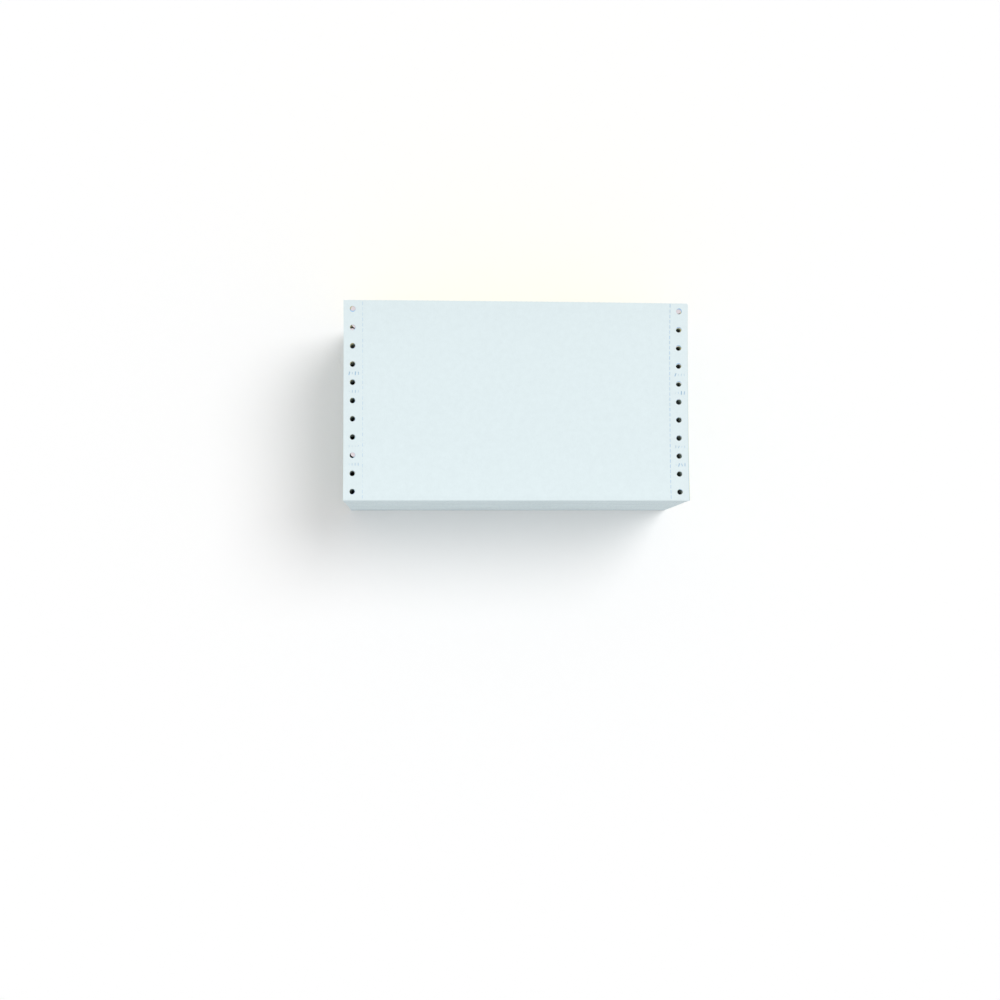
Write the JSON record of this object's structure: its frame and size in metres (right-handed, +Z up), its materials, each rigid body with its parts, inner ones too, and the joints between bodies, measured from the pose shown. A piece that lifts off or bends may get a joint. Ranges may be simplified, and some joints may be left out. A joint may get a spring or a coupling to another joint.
{
  "type": "stack of continuous form paper",
  "caption": "A fan-folded pile of multi-ply continuous form paper, pale blue-white, with pin-feed holes and tear-off margins down both sides and its leading form sprung up at the free edge.",
  "frame": {"origin": "middle of the base that the pile lies on", "axes": "+X runs along the folds, to the right of the leading form; +Y from the front folds to the free edge of the leading form; +Z up through the pile"},
  "size_m": [0.2414, 0.1396, 0.1052],
  "materials": {
    "top_ply": "matte uncoated paper, white with a faint blue cast",
    "lower_plies": "matte thin paper in pale blue, green, yellow and pink, seen only at the cut edges"
  },
  "bodies": {
    "root": {"form_stack": "top_ply"}
  },
  "joints": []
}
